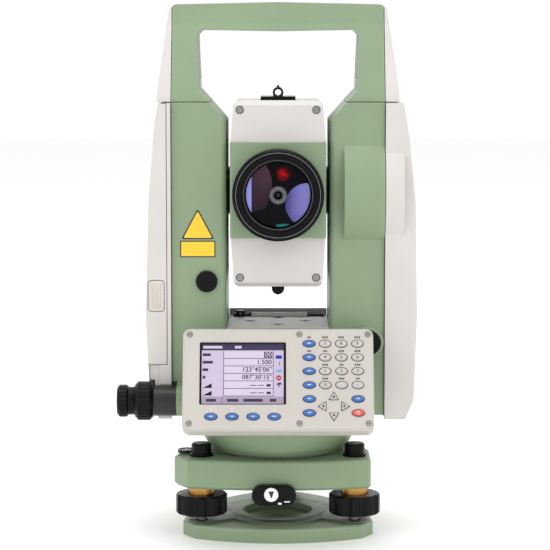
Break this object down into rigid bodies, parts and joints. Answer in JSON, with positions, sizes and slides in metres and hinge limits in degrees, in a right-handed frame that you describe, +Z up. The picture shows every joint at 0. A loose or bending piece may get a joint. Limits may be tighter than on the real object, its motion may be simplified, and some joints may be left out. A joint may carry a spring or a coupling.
{
  "type": "surveying total station",
  "caption": "Electronic total station on a levelling tribrach: a tilting telescope in a U-shaped rotating frame with carry handle, control panel, drive knobs and battery door.",
  "frame": {"origin": "centre of the tripod thread on the bottom face of the base plate", "axes": "+Z up along the vertical axis, +X along the telescope's tilting axis to the right of the control panel, +Y away from the control panel"},
  "size_m": [0.2004, 0.1746, 0.3605],
  "materials": {
    "casting_green": "satin sage-green paint on a casting",
    "spring_steel": "painted spring steel",
    "nylon": "moulded",
    "brass": "turned",
    "black_plastic": "fine texture",
    "level_black": "black anodised",
    "steel": "turned",
    "steel_bright": "turned",
    "circle_glass": "polished",
    "deck_grey": "satin paint",
    "cover_grey": "satin paint",
    "latch_grey": "moulded",
    "battery_black": "moulded",
    "rubber_black": "moulded",
    "vial_glass": "clear",
    "panel_grey": "satin paint",
    "display": "clear",
    "board_green": "solder mask",
    "screw_dark": "blackened",
    "anodised_black": "black anodised",
    "lens_glass": "coated",
    "key_blue": "moulded",
    "key_grey": "moulded",
    "key_red": "moulded"
  },
  "bodies": {
    "base": {"base_plate": "casting_green", "spring_plate": "spring_steel"},
    "ball_seat": {"back_ball_seat": "nylon"},
    "tribrach": {"tribrach_body": "casting_green", "foot_screw_bushes": "brass", "foot_caps": "black_plastic", "circular_level": "level_black", "instrument_base": "steel", "horizontal_circle": "circle_glass"},
    "alidade": {"alidade_frame": "casting_green", "lower_housing": "casting_green", "axis_spindle": "steel", "deck_plate": "deck_grey", "left_cover": "cover_grey", "right_cover": "cover_grey", "battery_pack": "battery_black", "trunnion_bearings": "steel", "spring_cap": "black_plastic", "plate_level_case": "level_black", "plate_level_vial": "vial_glass", "panel_case": "panel_grey", "panel_bezel": "panel_grey", "display_window": "display", "circuit_board": "board_green", "cover_screws": "screw_dark", "handle": "casting_green", "handle_side_covers": "cover_grey", "handle_screws": "steel_bright"},
    "telescope": {"telescope_body": "casting_green", "telescope_top_cover": "cover_grey", "telescope_bottom_cover": "cover_grey", "telescope_screws": "screw_dark", "objective_ring": "anodised_black", "objective_lens": "lens_glass", "coaxial_tube": "anodised_black", "trunnion_axles": "anodised_black", "vertical_circle": "circle_glass", "collimator_sights": "anodised_black"},
    "clamp_knob": {"clamp_knob": "black_plastic"},
    "clamp_ring": {"clamp_ring": "steel"},
    "battery_door": {"battery_door": "cover_grey"},
    "battery_latch": {"battery_latch": "latch_grey"},
    "focus_ring": {"focus_ring": "rubber_black"},
    "eyepiece": {"eyepiece": "anodised_black"},
    "h_clamp_knob": {"h_clamp_knob": "black_plastic"},
    "h_tangent_knob": {"h_tangent_knob": "black_plastic"},
    "v_clamp_knob": {"v_clamp_knob": "black_plastic"},
    "v_tangent_knob": {"v_tangent_knob": "black_plastic"},
    "data_port_cap": {"data_port_cap": "rubber_black"},
    "soft_keys": {"soft_keys": "key_blue"},
    "function_keys": {"function_keys": "key_blue"},
    "digit_keys": {"digit_keys": "key_grey"},
    "cursor_keys": {"cursor_keys": "key_grey"},
    "power_key": {"power_key": "key_red"},
    "foot_spindle_left": {"foot_spindle_left": "steel"},
    "foot_spindle_right": {"foot_spindle_right": "steel"},
    "foot_spindle_back": {"foot_spindle_back": "steel"},
    "foot_knob_left": {"foot_knob_left": "black_plastic"},
    "foot_knob_right": {"foot_knob_right": "black_plastic"},
    "foot_knob_back": {"foot_knob_back": "black_plastic"}
  },
  "joints": [
    {"name": "alidade_rotation", "type": "hinge", "parent": "tribrach", "child": "alidade", "pos_m": [0, 0, 0.084], "axis": [0, 0, 1], "continuous": true},
    {"name": "telescope_tilt", "type": "hinge", "parent": "alidade", "child": "telescope", "pos_m": [0, 0, 0.2332], "axis": [1, 0, 0], "continuous": true},
    {"name": "levelling_roll", "type": "hinge", "parent": "base", "child": "ball_seat", "pos_m": [0, 0.06, 0.0065], "axis": [0, 1, 0], "range_deg": [-2, 2]},
    {"name": "levelling_pitch", "type": "hinge", "parent": "ball_seat", "child": "tribrach", "pos_m": [0, -0.03, 0.0065], "axis": [1, 0, 0], "range_deg": [-2, 2]},
    {"name": "battery_door_hinge", "type": "hinge", "parent": "alidade", "child": "battery_door", "pos_m": [-0.0742, 0.0442, 0.2], "axis": [0, 0, -1], "range_deg": [0, 90]},
    {"name": "battery_latch_press", "type": "slide", "parent": "battery_door", "child": "battery_latch", "axis": [0, 1, 0], "range_m": [0, 0.0012], "stiffness_N_per_m": 300},
    {"name": "tribrach_clamp_turn", "type": "hinge", "parent": "tribrach", "child": "clamp_knob", "pos_m": [-0.0046, -0.055, 0.0345], "axis": [0, -1, 0], "range_deg": [0, 180]},
    {"name": "clamp_ring_swing", "type": "hinge", "parent": "tribrach", "child": "clamp_ring", "pos_m": [0, 0, 0.0393], "axis": [0, 0, 1], "range_deg": [0, 21]},
    {"name": "focus_ring_turn", "type": "hinge", "parent": "telescope", "child": "focus_ring", "pos_m": [0, 0.056, 0.2332], "axis": [0, 1, 0], "range_deg": [-150, 150]},
    {"name": "eyepiece_turn", "type": "hinge", "parent": "telescope", "child": "eyepiece", "pos_m": [0, 0.075, 0.2332], "axis": [0, 1, 0], "range_deg": [-180, 180]},
    {"name": "horizontal_clamp_turn", "type": "hinge", "parent": "alidade", "child": "h_clamp_knob", "pos_m": [-0.09, -0.046, 0.095], "axis": [-1, 0, 0], "range_deg": [0, 120]},
    {"name": "horizontal_tangent_turn", "type": "hinge", "parent": "alidade", "child": "h_tangent_knob", "pos_m": [-0.103, -0.046, 0.095], "axis": [-1, 0, 0], "range_deg": [-1800, 1800]},
    {"name": "vertical_clamp_turn", "type": "hinge", "parent": "alidade", "child": "v_clamp_knob", "pos_m": [-0.0477, 0.056, 0.1746], "axis": [0, 1, 0], "range_deg": [0, 120]},
    {"name": "vertical_tangent_turn", "type": "hinge", "parent": "alidade", "child": "v_tangent_knob", "pos_m": [-0.0477, 0.07, 0.1746], "axis": [0, 1, 0], "range_deg": [-1800, 1800]},
    {"name": "data_port_cap_pull", "type": "slide", "parent": "alidade", "child": "data_port_cap", "axis": [0, -1, 0], "range_m": [0, 0.005]},
    {"name": "foot_screw_travel_right", "type": "slide", "parent": "tribrach", "child": "foot_spindle_right", "axis": [0, 0, 1], "range_m": [-0.00192, 0.00192]},
    {"name": "foot_knob_turn_right", "type": "hinge", "parent": "foot_spindle_right", "child": "foot_knob_right", "pos_m": [0.05196, -0.03, 0.022], "axis": [0, 0, 1], "range_deg": [-680, 680]},
    {"name": "foot_screw_travel_left", "type": "slide", "parent": "tribrach", "child": "foot_spindle_left", "axis": [0, 0, 1], "range_m": [-0.00192, 0.00192]},
    {"name": "foot_knob_turn_left", "type": "hinge", "parent": "foot_spindle_left", "child": "foot_knob_left", "pos_m": [-0.05196, -0.03, 0.022], "axis": [0, 0, 1], "range_deg": [-680, 680]},
    {"name": "foot_screw_travel_back", "type": "slide", "parent": "tribrach", "child": "foot_spindle_back", "axis": [0, 0, 1], "range_m": [-0.00333, 0.00333]},
    {"name": "foot_knob_turn_back", "type": "hinge", "parent": "foot_spindle_back", "child": "foot_knob_back", "pos_m": [0, 0.06, 0.022], "axis": [0, 0, 1], "range_deg": [-1180, 1180]},
    {"name": "soft_keys_press", "type": "slide", "parent": "alidade", "child": "soft_keys", "axis": [0, 0.9063, -0.4226], "range_m": [0, 0.0008], "stiffness_N_per_m": 600},
    {"name": "function_keys_press", "type": "slide", "parent": "alidade", "child": "function_keys", "axis": [0, 0.9063, -0.4226], "range_m": [0, 0.0008], "stiffness_N_per_m": 600},
    {"name": "digit_keys_press", "type": "slide", "parent": "alidade", "child": "digit_keys", "axis": [0, 0.9063, -0.4226], "range_m": [0, 0.0008], "stiffness_N_per_m": 600},
    {"name": "cursor_keys_press", "type": "slide", "parent": "alidade", "child": "cursor_keys", "axis": [0, 0.9063, -0.4226], "range_m": [0, 0.0008], "stiffness_N_per_m": 600},
    {"name": "power_key_press", "type": "slide", "parent": "alidade", "child": "power_key", "axis": [0, 0.9063, -0.4226], "range_m": [0, 0.0008], "stiffness_N_per_m": 600}
  ],
  "couplings": [
    {"joint": "clamp_ring_swing", "follows": "tribrach_clamp_turn", "ratio": 0.11111},
    {"joint": "foot_screw_travel_right", "follows": "levelling_roll", "m_per_rad": 0.051962},
    {"joint": "foot_knob_turn_right", "follows": "levelling_roll", "ratio": 326.48},
    {"joint": "foot_screw_travel_left", "follows": "levelling_roll", "m_per_rad": -0.051962},
    {"joint": "foot_knob_turn_left", "follows": "levelling_roll", "ratio": -326.48},
    {"joint": "foot_screw_travel_back", "follows": "levelling_pitch", "m_per_rad": -0.09},
    {"joint": "foot_knob_turn_back", "follows": "levelling_pitch", "ratio": -565.49}
  ]
}
